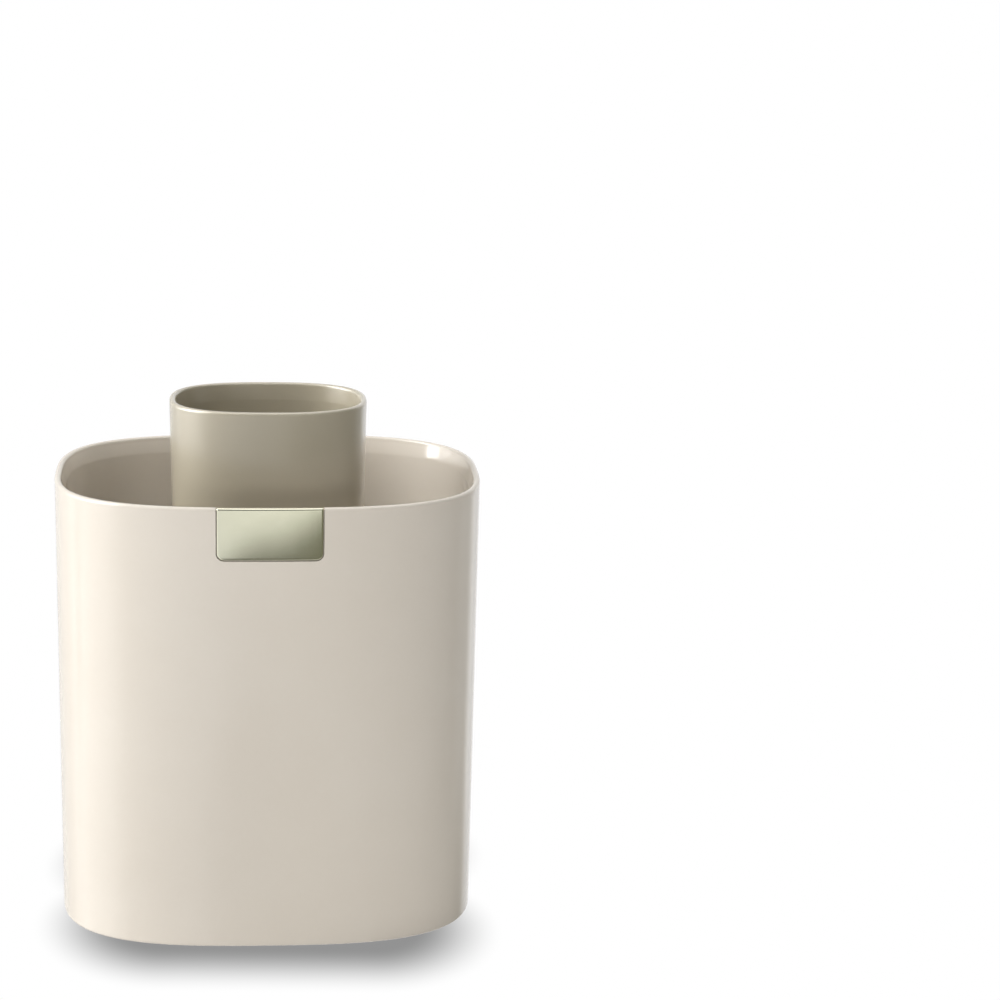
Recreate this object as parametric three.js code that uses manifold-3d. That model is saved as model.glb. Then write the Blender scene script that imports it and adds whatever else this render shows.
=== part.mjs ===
// Makeup brush pot: a moulded oval-cornered pot with a taller pot standing in its middle.
// The middle pot drops over a low boss on the floor and lifts straight out for cleaning.
// A thin metal plate is folded over the front of the rim, and four soft feet sit in the base.
// Millimetres, +Z up, front towards -Y. The origin is on the table, under the middle of the base.

import * as THREE from 'three';
import { mergeVertices } from 'three/addons/utils/BufferGeometryUtils.js';
import Module from 'manifold-3d';

const wasm = await Module();
wasm.setup();

// Outer pot. Its plan is a superellipse, a rectangle whose corners run smoothly into its sides.
const potWidth = 120;
const potDepth = 92;
const potHeight = 127.5;
const potPower = 2.96;
const potDraftDegrees = 0.48;
const potWall = 2.8;
const potLipRadius = 0.95;
const potFlareHeight = 5.6;
const potFloorThickness = 3.2;
const potFloorFillet = 4;
const potBaseRadius = 0.8;

// Middle pot, which stands taller and has a raised floor over a hollow skirt.
const cupWidth = 55.7;
const cupDepth = 43.2;
const cupHeight = 148.5;
const cupPower = 2.54;
const cupDraftDegrees = 1.15;
const cupWall = 2.2;
const cupLipRadius = 0.9;
const cupFlareHeight = 4;
const cupFloorRise = 20;
const cupFloorThickness = 2.4;
const cupFloorFillet = 3;
const cupBaseRadius = 0.5;
const skirtWall = 1.9;

// Boss on the pot's floor that the skirt drops over, cored out from below.
const bossHeight = 8;
const bossWall = 2.6;
const bossTopRadius = 1;
const bossClearance = 0.4;
const coreDraftDegrees = 1;

// Metal plate folded over the rim, and the thin pad of adhesive behind it.
const plateWidth = 29;
const plateHeight = 14.7;
const plateThickness = 0.6;
const plateFold = 1.15;
const plateFoldRadius = 0.3;
const plateCornerRadius = 1.6;
const plateSink = 0.1;
const padThickness = 0.25;
const padMargin = 1;

// Round soft feet, pressed into sockets in the underside.
const footDiameter = 10;
const footThickness = 1.8;
const footProud = 0.5;
const footEdgeRadius = 0.3;
const footInsetX = 20;
const footInsetY = 18;

// Clearances between pieces.
const seatGap = 0.3;
const plateSeam = 0.25;
const padGap = 0.12;
const footSocketGap = 0.2;
const cutOverrun = 3;

// Numbers of facets.
const potSides = 96;
const cupSides = 72;
const footSides = 28;
const lipSteps = 8;
const filletSteps = 4;

// Heights that several pieces share.
const potBaseZ = footProud;
const potFloorZ = potBaseZ + potFloorThickness;
const potLipZ = potHeight - potLipRadius;
const cupMouthZ = potFloorZ + seatGap;
const cupFloorZ = potFloorZ + cupFloorRise;
const cupCeilingZ = cupFloorZ - cupFloorThickness;
const cupLipZ = cupHeight - cupLipRadius;
const bossTopZ = potFloorZ + bossHeight;

const potForm = { halfWidth: potWidth / 2, halfDepth: potDepth / 2, power: potPower, sides: potSides };
const cupForm = { halfWidth: cupWidth / 2, halfDepth: cupDepth / 2, power: cupPower, sides: cupSides };

// Sideways step of a drafted face over a height.
function draftRun(height, degrees) {
  return height * Math.tan(THREE.MathUtils.degToRad(degrees));
}

// How far the pot's outside has drawn in from the rim, at height z.
function potInset(z) {
  return draftRun(potLipZ - z, potDraftDegrees);
}

// The same for the middle pot.
function cupInset(z) {
  return draftRun(cupLipZ - z, cupDraftDegrees);
}

// Inside of the skirt, from the middle pot's outline. It opens slightly towards its mouth.
function skirtInset(z) {
  return cupInset(cupMouthZ) + skirtWall + draftRun(z - cupMouthZ, coreDraftDegrees);
}

// Outside of the boss, a running clearance inside the skirt.
function bossInset(z) {
  return skirtInset(z) + bossClearance;
}

// One point of a superellipse at angle t, moved inwards along its normal.
function outlinePoint(form, inset, t, z) {
  const cosine = Math.cos(t);
  const sine = Math.sin(t);
  const shareX = Math.sign(cosine) * Math.abs(cosine) ** (2 / form.power);
  const shareY = Math.sign(sine) * Math.abs(sine) ** (2 / form.power);
  const slopeX = Math.sign(shareX) * Math.abs(shareX) ** (form.power - 1) / form.halfWidth;
  const slopeY = Math.sign(shareY) * Math.abs(shareY) ** (form.power - 1) / form.halfDepth;
  const normal = new THREE.Vector2(slopeX, slopeY).normalize();
  const x = form.halfWidth * shareX - inset * normal.x;
  const y = form.halfDepth * shareY - inset * normal.y;
  return new THREE.Vector3(x, y, z);
}

// A closed ring of points at one station of a profile, counted anticlockwise from +X.
function stationRing(station, sides) {
  const points = [];
  for (let index = 0; index < sides; index += 1) {
    const t = (index / sides) * Math.PI * 2;
    points.push(outlinePoint(station.form, station.inset, t, station.z));
  }
  return points;
}

// Joins rings into an indexed surface. Closed profiles wrap round, open ones end in a flat cap.
function skinRings(rings, wraps) {
  const sides = rings[0].length;
  const points = rings.flat();
  const indices = [];
  const bands = wraps ? rings.length : rings.length - 1;
  for (let band = 0; band < bands; band += 1) {
    const lower = band * sides;
    const upper = ((band + 1) % rings.length) * sides;
    for (let side = 0; side < sides; side += 1) {
      const next = (side + 1) % sides;
      indices.push(lower + side, lower + next, upper + next);
      indices.push(lower + side, upper + next, upper + side);
    }
  }
  if (!wraps) {
    const first = points.length;
    points.push(new THREE.Vector3(0, 0, rings[0][0].z));
    points.push(new THREE.Vector3(0, 0, rings[rings.length - 1][0].z));
    const top = (rings.length - 1) * sides;
    for (let side = 0; side < sides; side += 1) {
      const next = (side + 1) % sides;
      indices.push(first, next, side);
      indices.push(first + 1, top + side, top + next);
    }
  }
  const geometry = new THREE.BufferGeometry().setFromPoints(points);
  geometry.setIndex(indices);
  return geometry;
}

// A shell from stations that run from the middle of its underside to the middle of its floor.
function loftShell(stations, sides) {
  const rings = stations.map((station) => stationRing(station, sides));
  return skinRings(rings, false);
}

// A closed band round a form, from a profile of [inset, height] pairs.
function loftBand(form, profile) {
  const rings = profile.map(([inset, z]) => stationRing({ form, inset, z }, form.sides));
  return skinRings(rings, true);
}

// Stations along an arc about a centre, from one angle to another in degrees.
// An angle of 0 points outwards, and one of 90 points up.
function arcStations(form, centreInset, centreZ, radius, fromDegrees, toDegrees, steps) {
  const stations = [];
  for (let step = 0; step <= steps; step += 1) {
    const angle = THREE.MathUtils.degToRad(fromDegrees + (toDegrees - fromDegrees) * (step / steps));
    stations.push({
      form,
      inset: centreInset - radius * Math.cos(angle),
      z: centreZ + radius * Math.sin(angle),
    });
  }
  return stations;
}

// Turns a closed geometry into a manifold solid.
function toSolid(geometry) {
  const bare = geometry.clone();
  bare.deleteAttribute('normal');
  bare.deleteAttribute('uv');
  const merged = mergeVertices(bare);
  const mesh = new wasm.Mesh({
    numProp: 3,
    vertProperties: new Float32Array(merged.attributes.position.array),
    triVerts: new Uint32Array(merged.index.array),
  });
  mesh.merge();
  return new wasm.Manifold(mesh);
}

// Turns a manifold solid back into a geometry.
function toGeometry(solid) {
  const mesh = solid.getMesh();
  const geometry = new THREE.BufferGeometry();
  const count = mesh.vertProperties.length / mesh.numProp;
  const positions = new Float32Array(count * 3);
  for (let index = 0; index < count; index += 1) {
    for (let axis = 0; axis < 3; axis += 1) {
      positions[index * 3 + axis] = mesh.vertProperties[index * mesh.numProp + axis];
    }
  }
  geometry.setAttribute('position', new THREE.BufferAttribute(positions, 3));
  geometry.setIndex(new THREE.BufferAttribute(new Uint32Array(mesh.triVerts), 1));
  return geometry;
}

// Wraps a geometry as a named, coloured mesh.
function namedMesh(name, geometry, colour, roughness, metalness) {
  geometry.computeVertexNormals();
  const material = new THREE.MeshStandardMaterial({ color: colour, roughness, metalness });
  const mesh = new THREE.Mesh(geometry, material);
  mesh.name = name;
  return mesh;
}

// Underside of the outer pot: the core below the boss, then the flat base and its rounded edge.
function potUnderside() {
  const coreTopZ = bossTopZ - bossWall;
  const edgeZ = potBaseZ + potBaseRadius;
  const edgeInset = potInset(edgeZ) + potBaseRadius;
  return [
    { form: cupForm, inset: bossInset(coreTopZ) + bossWall, z: coreTopZ },
    { form: cupForm, inset: bossInset(potBaseZ) + bossWall, z: potBaseZ },
    ...arcStations(potForm, edgeInset, edgeZ, potBaseRadius, -90, 0, filletSteps),
  ];
}

// Outside wall, the full-round lip, and the flare below it where the wall thickens.
function potWallAndLip() {
  const flareFootZ = potLipZ - potFlareHeight;
  const filletZ = potFloorZ + potFloorFillet;
  const filletInset = potInset(filletZ) + potWall + potFloorFillet;
  return [
    ...arcStations(potForm, potLipRadius, potLipZ, potLipRadius, 0, 180, lipSteps),
    { form: potForm, inset: potInset(flareFootZ) + potWall, z: flareFootZ },
    ...arcStations(potForm, filletInset, filletZ, potFloorFillet, 0, -90, filletSteps),
  ];
}

// The floor's boss, with a rounded top edge.
function potBoss() {
  const shoulderZ = bossTopZ - bossTopRadius;
  const shoulderInset = bossInset(shoulderZ) + bossTopRadius;
  return [
    { form: cupForm, inset: bossInset(potFloorZ), z: potFloorZ },
    ...arcStations(cupForm, shoulderInset, shoulderZ, bossTopRadius, 0, 90, filletSteps),
  ];
}

// The centres of the four feet, with their names.
function footPlaces() {
  const x = potForm.halfWidth - potInset(potBaseZ) - footInsetX;
  const y = potForm.halfDepth - potInset(potBaseZ) - footInsetY;
  return [
    { name: 'foot_front_left', x: -x, y: -y },
    { name: 'foot_front_right', x, y: -y },
    { name: 'foot_back_left', x: -x, y },
    { name: 'foot_back_right', x, y },
  ];
}

// A round socket for one foot, open below.
function footSocket(place) {
  const radius = footDiameter / 2 + footSocketGap;
  const topZ = footThickness + seatGap;
  const height = topZ - potBaseZ + cutOverrun;
  const cylinder = new THREE.CylinderGeometry(radius, radius, height, footSides);
  cylinder.rotateX(Math.PI / 2);
  cylinder.translate(place.x, place.y, topZ - height / 2);
  return toSolid(cylinder);
}

// An upright prism seen from the front: square above, rounded at its two lower corners.
function frontPrism(width, bottomZ, topZ, cornerRadius, depth) {
  const half = width / 2;
  const outline = new THREE.Shape();
  outline.moveTo(-half, topZ);
  outline.lineTo(-half, bottomZ + cornerRadius);
  outline.absarc(-half + cornerRadius, bottomZ + cornerRadius, cornerRadius, Math.PI, 1.5 * Math.PI, false);
  outline.lineTo(half - cornerRadius, bottomZ);
  outline.absarc(half - cornerRadius, bottomZ + cornerRadius, cornerRadius, 1.5 * Math.PI, 2 * Math.PI, false);
  outline.lineTo(half, topZ);
  outline.closePath();
  const prism = new THREE.ExtrudeGeometry(outline, {
    depth,
    bevelEnabled: false,
    curveSegments: filletSteps,
  });
  prism.rotateX(Math.PI / 2);
  prism.translate(0, -potForm.halfDepth + depth - cutOverrun, 0);
  return toSolid(prism);
}

// Depth of the front prisms, from in front of the pot to behind the plate's pocket.
const prismDepth = cutOverrun + potDepth / 4;
const plateTopZ = potHeight - plateSink;
const plateBottomZ = potHeight - plateHeight;
const plateSeatZ = plateTopZ - plateThickness - padGap;
const pocketDepth = plateThickness + padGap + padThickness + padGap;

// The plate: a skin of the pot's outside, folded inwards along the top of the rim.
function plateSolid() {
  const bendZ = plateTopZ - plateFoldRadius;
  const bend = arcStations(potForm, plateFoldRadius, bendZ, plateFoldRadius, 0, 90, filletSteps);
  const profile = [
    [potInset(plateBottomZ), plateBottomZ],
    ...bend.map(({ inset, z }) => [inset, z]),
    [plateFold, plateTopZ],
    [plateFold, plateTopZ - plateThickness],
    [plateThickness, plateTopZ - plateThickness],
    [potInset(plateBottomZ) + plateThickness, plateBottomZ],
  ];
  const band = toSolid(loftBand(potForm, profile));
  const prism = frontPrism(plateWidth, plateBottomZ, plateTopZ + cutOverrun, plateCornerRadius, prismDepth);
  return band.intersect(prism);
}

// The pocket that the plate and its pad lie in, open in front and above.
function plateCutter() {
  const bottomZ = plateBottomZ - plateSeam;
  const backInset = potInset(bottomZ) + pocketDepth;
  const profile = [
    [-cutOverrun, bottomZ],
    [-cutOverrun, plateTopZ + cutOverrun],
    [plateFold + plateSeam, plateTopZ + cutOverrun],
    [plateFold + plateSeam, plateSeatZ],
    [pocketDepth, plateSeatZ],
    [backInset, bottomZ],
  ];
  const band = toSolid(loftBand(potForm, profile));
  const width = plateWidth + 2 * plateSeam;
  const topZ = plateTopZ + 2 * cutOverrun;
  const prism = frontPrism(width, bottomZ, topZ, plateCornerRadius + plateSeam, prismDepth + cutOverrun);
  return band.intersect(prism);
}

// The adhesive pad behind the plate's face.
function padSolid() {
  const bottomZ = plateBottomZ + padMargin;
  const topZ = plateSeatZ - padGap;
  const frontInset = plateThickness + padGap;
  const profile = [
    [potInset(bottomZ) + frontInset, bottomZ],
    [potInset(topZ) + frontInset, topZ],
    [potInset(topZ) + frontInset + padThickness, topZ],
    [potInset(bottomZ) + frontInset + padThickness, bottomZ],
  ];
  const band = toSolid(loftBand(potForm, profile));
  const width = plateWidth - 2 * padMargin;
  const prism = frontPrism(width, bottomZ, topZ + cutOverrun, plateCornerRadius, prismDepth);
  return band.intersect(prism);
}

// The outer pot, with its plate pocket and foot sockets cut.
function makeOuterPot() {
  const stations = [...potUnderside(), ...potWallAndLip(), ...potBoss()];
  let solid = toSolid(loftShell(stations, potSides));
  solid = solid.subtract(plateCutter());
  for (const place of footPlaces()) {
    solid = solid.subtract(footSocket(place));
  }
  return namedMesh('outer_pot', toGeometry(solid), 0xe3dbcf, 0.28, 0);
}

// The middle pot: skirt, outside wall, round lip, inside wall and raised floor in one shell.
function makeInnerPot() {
  const edgeZ = cupMouthZ + cupBaseRadius;
  const edgeInset = cupInset(edgeZ) + cupBaseRadius;
  const flareFootZ = cupLipZ - cupFlareHeight;
  const filletZ = cupFloorZ + cupFloorFillet;
  const filletInset = cupInset(filletZ) + cupWall + cupFloorFillet;
  const stations = [
    { form: cupForm, inset: skirtInset(cupCeilingZ), z: cupCeilingZ },
    { form: cupForm, inset: skirtInset(cupMouthZ), z: cupMouthZ },
    ...arcStations(cupForm, edgeInset, edgeZ, cupBaseRadius, -90, 0, filletSteps),
    ...arcStations(cupForm, cupLipRadius, cupLipZ, cupLipRadius, 0, 180, lipSteps),
    { form: cupForm, inset: cupInset(flareFootZ) + cupWall, z: flareFootZ },
    ...arcStations(cupForm, filletInset, filletZ, cupFloorFillet, 0, -90, filletSteps),
  ];
  return namedMesh('inner_pot', loftShell(stations, cupSides), 0xa8a190, 0.5, 0);
}

// One soft foot: a disc with an eased lower edge.
function makeFoot(place) {
  const radius = footDiameter / 2;
  const profile = [
    new THREE.Vector2(0, 0),
    new THREE.Vector2(radius - footEdgeRadius, 0),
    new THREE.Vector2(radius, footEdgeRadius),
    new THREE.Vector2(radius, footThickness),
    new THREE.Vector2(0, footThickness),
  ];
  const foot = new THREE.LatheGeometry(profile, footSides);
  foot.rotateX(Math.PI / 2);
  const mesh = namedMesh(place.name, foot, 0x8f8b84, 0.85, 0);
  mesh.position.set(place.x, place.y, 0);
  return mesh;
}

const brushPot = new THREE.Group();
brushPot.add(makeOuterPot());
brushPot.add(makeInnerPot());
brushPot.add(namedMesh('badge_plate', toGeometry(plateSolid()), 0xb5b39f, 0.32, 1));
brushPot.add(namedMesh('badge_adhesive', toGeometry(padSolid()), 0xd8d4cc, 0.9, 0));
for (const place of footPlaces()) {
  brushPot.add(makeFoot(place));
}

export default brushPot;
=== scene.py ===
"""Looks of the makeup brush pot: its two moulded shells, folded plate and soft feet, with their finishes.

Every length is in metres, in the frame's own axes: +Z up, front towards -Y, origin under the base.
"""

import logging
import math
from dataclasses import astuple, dataclass, field, replace
from enum import Enum

import bmesh
import bpy
from mathutils import Matrix, Vector


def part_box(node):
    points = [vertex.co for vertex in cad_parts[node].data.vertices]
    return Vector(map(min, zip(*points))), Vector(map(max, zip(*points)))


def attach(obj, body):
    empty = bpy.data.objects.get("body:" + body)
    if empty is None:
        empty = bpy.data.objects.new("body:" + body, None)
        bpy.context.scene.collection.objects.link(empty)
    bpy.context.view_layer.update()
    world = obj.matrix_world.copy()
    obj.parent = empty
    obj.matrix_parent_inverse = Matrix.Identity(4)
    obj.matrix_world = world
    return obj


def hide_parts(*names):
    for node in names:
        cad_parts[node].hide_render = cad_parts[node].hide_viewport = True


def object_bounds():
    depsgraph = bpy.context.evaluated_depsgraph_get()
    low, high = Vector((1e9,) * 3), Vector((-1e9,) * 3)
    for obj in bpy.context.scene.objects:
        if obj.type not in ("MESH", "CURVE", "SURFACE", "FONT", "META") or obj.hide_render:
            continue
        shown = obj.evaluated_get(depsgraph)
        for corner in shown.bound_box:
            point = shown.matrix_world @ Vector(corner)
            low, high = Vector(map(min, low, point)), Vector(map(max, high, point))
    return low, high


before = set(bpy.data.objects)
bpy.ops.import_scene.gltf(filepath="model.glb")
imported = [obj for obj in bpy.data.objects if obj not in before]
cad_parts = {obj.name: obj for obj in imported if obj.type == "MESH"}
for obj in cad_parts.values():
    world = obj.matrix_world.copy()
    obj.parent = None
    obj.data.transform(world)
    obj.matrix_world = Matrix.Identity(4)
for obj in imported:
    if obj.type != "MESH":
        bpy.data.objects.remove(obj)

LOG = logging.getLogger("brush_pot")
CAD_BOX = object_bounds()
MM = 0.001
TO_DEGREES = 180 / math.pi

# A step of a profile longer than LONG_STEP gets a row SUPPORT away from each of its ends.
SUPPORT = 0.15 * MM
LONG_STEP = 6 * SUPPORT
MERGE_DISTANCE = 0.004 * MM

# The mark that the moulding gate leaves, its radius being a share of the plan and its flat a share of that.
GATE_DEPTH = 0.4 * MM
GATE_RADIUS_SHARE = 0.09
GATE_FLAT_SHARE = 0.8
CEILING_STEPS = 5

# Sockets of a colour Mix node go by number, because their names repeat.
MIX_SHARE = 0
MIX_FIRST = 6
MIX_SECOND = 7
MIX_RESULT = 2
NOISE_MIDDLE = 0.5

Colour = tuple[float, float, float, float]
Point = tuple[float, float, float]


class Body(Enum):
    """The rigid bodies that pieces ride on."""

    OUTER = "outer_body"
    INNER = "inner_body"


class Socket(Enum):
    """Kinds of named input that a geometry tree can have."""

    LENGTH = "NodeSocketFloat"
    SHAPE = "NodeSocketGeometry"


class Value:
    """A node socket, so that arithmetic on a number that it carries adds Math nodes."""

    def __init__(self, graph: "Graph", socket: bpy.types.NodeSocket) -> None:
        """Keeps the graph and the socket."""
        self.graph = graph
        self.socket = socket

    def math(self, operation: str, *others: "Value | float") -> "Value":
        """The result of a Math node fed with this value and then the others."""
        return self.graph.value("ShaderNodeMath", {"operation": operation}, dict(enumerate((self, *others))))

    def reflected(self, operation: str, left: float) -> "Value":
        """The result of a Math node fed with a number and then this value."""
        return self.graph.value("ShaderNodeMath", {"operation": operation}, {0: left, 1: self})

    def __add__(self, other: "Value | float") -> "Value":
        """Sum."""
        return self.math("ADD", other)

    def __radd__(self, other: float) -> "Value":
        """Sum with a number on the left."""
        return self.reflected("ADD", other)

    def __sub__(self, other: "Value | float") -> "Value":
        """Difference."""
        return self.math("SUBTRACT", other)

    def __rsub__(self, other: float) -> "Value":
        """Difference with a number on the left."""
        return self.reflected("SUBTRACT", other)

    def __mul__(self, other: "Value | float") -> "Value":
        """Product."""
        return self.math("MULTIPLY", other)

    def __rmul__(self, other: float) -> "Value":
        """Product with a number on the left."""
        return self.reflected("MULTIPLY", other)

    def __truediv__(self, other: "Value | float") -> "Value":
        """Quotient."""
        return self.math("DIVIDE", other)

    def __rtruediv__(self, other: float) -> "Value":
        """Quotient with a number on the left."""
        return self.reflected("DIVIDE", other)

    def __pow__(self, other: "Value | float") -> "Value":
        """Power."""
        return self.math("POWER", other)

    def __rpow__(self, other: float) -> "Value":
        """Power with a number on the left."""
        return self.reflected("POWER", other)

    def __abs__(self) -> "Value":
        """Size without sign."""
        return self.math("ABSOLUTE")


class Graph:
    """A node tree under construction, for a shader or for geometry."""

    def __init__(self, tree: bpy.types.NodeTree) -> None:
        """Keeps the tree and clears it."""
        self.tree = tree
        self.tree.nodes.clear()

    def node(self, kind: str, settings: dict | None = None, inputs: dict | None = None) -> bpy.types.Node:
        """Adds one node.

        Args:
            kind: The node's type.
            settings: Its properties, set before its inputs.
            inputs: A Value to link or a plain value, by input name or number.

        Returns:
            The node.
        """
        node = self.tree.nodes.new(kind)
        for name, setting in (settings or {}).items():
            setattr(node, name, setting)
        for key, value in (inputs or {}).items():
            if isinstance(value, Value):
                self.tree.links.new(value.socket, node.inputs[key])
            else:
                node.inputs[key].default_value = value
        return node

    def value(self, kind: str, settings: dict | None = None, inputs: dict | None = None,
              output: str | int = 0) -> Value:
        """Adds a node with node's arguments, and wraps the output that has a name or number."""
        return Value(self, self.node(kind, settings, inputs).outputs[output])

    def split(self, vector: Value) -> tuple[Value, ...]:
        """The three coordinates of a vector."""
        node = self.node("ShaderNodeSeparateXYZ", {}, {0: vector})
        return tuple(Value(self, output) for output in node.outputs)

    def join(self, x: Value | float, y: Value | float, z: Value | float) -> Value:
        """The vector of three coordinates."""
        return self.value("ShaderNodeCombineXYZ", {}, {0: x, 1: y, 2: z})


def ramp(value: Value, low: float, high: float, start: float = 0.0) -> Value:
    """Goes smoothly from the start to 1 as a value goes from low to high. Low may be the larger number."""
    inputs = {"Value": value, "From Min": low, "From Max": high, "To Min": start}
    return value.graph.value("ShaderNodeMapRange", {"interpolation_type": "SMOOTHSTEP"}, inputs)


def noise(place: Value, length: float, detail: float) -> Value:
    """A noise from 0 to 1 whose features have a length in metres, with octaves of finer detail."""
    inputs = {"Vector": place, "Scale": 1 / length, "Detail": detail}
    return place.graph.value("ShaderNodeTexNoise", {}, inputs, "Fac")


def linear(red: int, green: int, blue: int) -> Colour:
    """Turns a display colour into the linear one that a shader takes, along the sRGB curve.

    Args:
        red: Red, 0 to 255.
        green: Green, 0 to 255.
        blue: Blue, 0 to 255.

    Returns:
        Linear red, green, blue and an alpha of 1.
    """
    shares = (channel / 255 for channel in (red, green, blue))
    curved = (share / 12.92 if share <= 0.04045 else ((share + 0.055) / 1.055) ** 2.4 for share in shares)
    return (*curved, 1.0)


@dataclass(frozen=True)
class Finish:
    """A surface finish, as a Principled shader with its own fine detail.

    Lengths are the size of the features in metres, depths are how far they stand out, and details are octaves
    of finer noise.
    """

    name: str
    colour: Colour
    tint: Colour
    roughness: float
    smudge: float = 0.04
    smudges_per_cloud: float = 2.5
    smudge_detail: float = 4.0
    metallic: float = 0.0
    cloud_length: float = 30 * MM
    cloud_detail: float = 3.0
    cloud_share: float = 0.8
    grain_length: float = 1.2 * MM
    grain_depth: float = 0.002 * MM
    grain_detail: float = 2.0
    ripple_length: float = 18 * MM
    ripple_depth: float = 0.01 * MM
    ripple_detail: float = 1.0
    tint_from: float = 0.35
    tint_to: float = 0.65
    tint_share: float = 0.5
    coat: float = 0.0
    coat_roughness: float = 0.05
    ior: float = 1.46

    def material(self) -> bpy.types.Material:
        """Builds the finish.

        Returns:
            A new material.
        """
        material = bpy.data.materials.new(self.name)
        material.use_nodes = True
        graph = Graph(material.node_tree)
        place = graph.value("ShaderNodeTexCoord", output="Object")
        grain = noise(place, self.grain_length, self.grain_detail)
        shader = graph.value("ShaderNodeBsdfPrincipled", {}, {
            "Base Color": self.colour_map(place, grain),
            "Roughness": self.rough_map(place),
            "Metallic": self.metallic,
            "IOR": self.ior,
            "Coat Weight": self.coat,
            "Coat Roughness": self.coat_roughness,
            "Normal": self.relief(place, grain),
        })
        graph.node("ShaderNodeOutputMaterial", {}, {"Surface": shader})
        return material

    def colour_map(self, place: Value, grain: Value) -> Value:
        """Turns the colour towards the tint in soft clouds.

        Args:
            place: Coordinates in metres.
            grain: The fine noise.

        Returns:
            The colour.
        """
        graph = place.graph
        cloud = noise(place, self.cloud_length, self.cloud_detail)
        mixed = cloud * self.cloud_share + grain * (1 - self.cloud_share)
        spread = {"Value": mixed, "From Min": self.tint_from, "From Max": self.tint_to}
        share = graph.value("ShaderNodeMapRange", {}, spread) * self.tint_share
        inputs = {MIX_SHARE: share, MIX_FIRST: self.colour, MIX_SECOND: self.tint}
        return graph.value("ShaderNodeMix", {"data_type": "RGBA"}, inputs, MIX_RESULT)

    def rough_map(self, place: Value) -> Value:
        """The roughness, with soft handling marks."""
        marks = noise(place, self.cloud_length / self.smudges_per_cloud, self.smudge_detail)
        return (marks - NOISE_MIDDLE) * (2 * self.smudge) + self.roughness

    def relief(self, place: Value, grain: Value) -> Value:
        """Bends the normal by fine grain over a long shallow ripple.

        Args:
            place: Coordinates in metres.
            grain: The fine noise.

        Returns:
            The bent normal.
        """
        ripple = noise(place, self.ripple_length, self.ripple_detail)
        waved = place.graph.value("ShaderNodeBump", {}, {"Distance": self.ripple_depth, "Height": ripple})
        inputs = {"Distance": self.grain_depth, "Height": grain, "Normal": waved}
        return place.graph.value("ShaderNodeBump", {}, inputs)


POT_GLOSS = Finish(
    name="pot_gloss",
    colour=linear(221, 213, 201),
    tint=linear(217, 208, 195),
    roughness=0.085,
    smudge=0.015,
)
INNER_SATIN = Finish(
    name="inner_satin",
    colour=linear(173, 165, 146),
    tint=linear(168, 160, 141),
    roughness=0.4,
    coat=1.0,
    coat_roughness=0.2,
    ior=1.6,
    smudge=0.03,
    grain_length=0.45 * MM,
    grain_depth=0.006 * MM,
)
PLATE_SATIN = Finish(
    name="plate_satin",
    colour=linear(222, 221, 200),
    tint=linear(216, 215, 193),
    roughness=0.12,
    smudge=0.02,
    metallic=1.0,
    cloud_length=6 * MM,
    grain_length=0.5 * MM,
    grain_depth=0.0005 * MM,
    ripple_length=9 * MM,
    ripple_depth=0.001 * MM,
)
FOOT_RUBBER = Finish(
    name="foot_rubber",
    colour=linear(138, 134, 126),
    tint=linear(120, 116, 108),
    roughness=0.78,
    smudge=0.08,
    cloud_length=3 * MM,
    grain_length=0.3 * MM,
    grain_depth=0.02 * MM,
)
ADHESIVE_FILM = Finish(
    name="adhesive_film",
    colour=linear(216, 212, 204),
    tint=linear(204, 198, 186),
    roughness=0.6,
    cloud_length=4 * MM,
    grain_length=0.4 * MM,
    grain_depth=0.01 * MM,
)


@dataclass(frozen=True)
class Station:
    """One row of a shell: its inset from the plan, its height, which plan it follows and its reach.

    A core of 0 follows the outer plan and 1 the core plan. A reach of 1 is on the plan's outline, and 0 is at
    the middle.
    """

    inset: float
    height: float
    core: float = 0.0
    reach: float = 1.0


def arc(centre_inset: float, centre_height: float, radius: float, start: float, end: float,
        steps: int) -> list[Station]:
    """Rows along an arc. An angle of 0 degrees points outwards and 90 points up.

    Args:
        centre_inset: The centre's inset.
        centre_height: The centre's height.
        radius: The arc's radius.
        start: First angle in degrees.
        end: Last angle in degrees.
        steps: Number of steps.

    Returns:
        The rows, both ends included.
    """
    angles = [math.radians(start + (end - start) * step / steps) for step in range(steps + 1)]
    return [
        Station(centre_inset - radius * math.cos(angle), centre_height + radius * math.sin(angle))
        for angle in angles
    ]


@dataclass(frozen=True)
class Oval:
    """A superellipse plan, and how its wall draws in below the lip."""

    half_width: float
    half_depth: float
    power: float
    draft: float
    lip_height: float

    def inset(self, height: float) -> float:
        """How far the outside has drawn in from the rim at a height."""
        return (self.lip_height - height) * math.tan(self.draft)

    def inputs(self, names: tuple[str, str, str]) -> dict[str, float]:
        """The plan's half width, half depth and power, under the names that a tree has for them."""
        return dict(zip(names, (self.half_width, self.half_depth, self.power)))

    def edge_rows(self, bottom: float, radius: float, steps: int) -> list[Station]:
        """Rows round the wall's rounded lower edge, from below to the outside."""
        centre = bottom + radius
        return arc(self.inset(centre) + radius, centre, radius, -90, 0, steps)

    def lip_rows(self, radius: float, steps: int) -> list[Station]:
        """Rows over the full-round lip, from the outside to the inside."""
        return arc(radius, self.lip_height, radius, 0, 180, steps)

    def floor_rows(self, floor: float, wall: float, fillet: float, steps: int) -> list[Station]:
        """Rows round the fillet from the inside of a wall of a thickness to a floor at a height."""
        centre = floor + fillet
        return arc(self.inset(centre) + wall + fillet, centre, fillet, 0, -90, steps)


def quarter(steps: int) -> list[float]:
    """Angles from zero to a quarter turn, in equal steps."""
    return [math.pi / 2 * step / steps for step in range(steps + 1)]


def on_core(rows: list[Station]) -> list[Station]:
    """The same rows, following the core plan."""
    return [replace(row, core=1.0) for row in rows]


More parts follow.
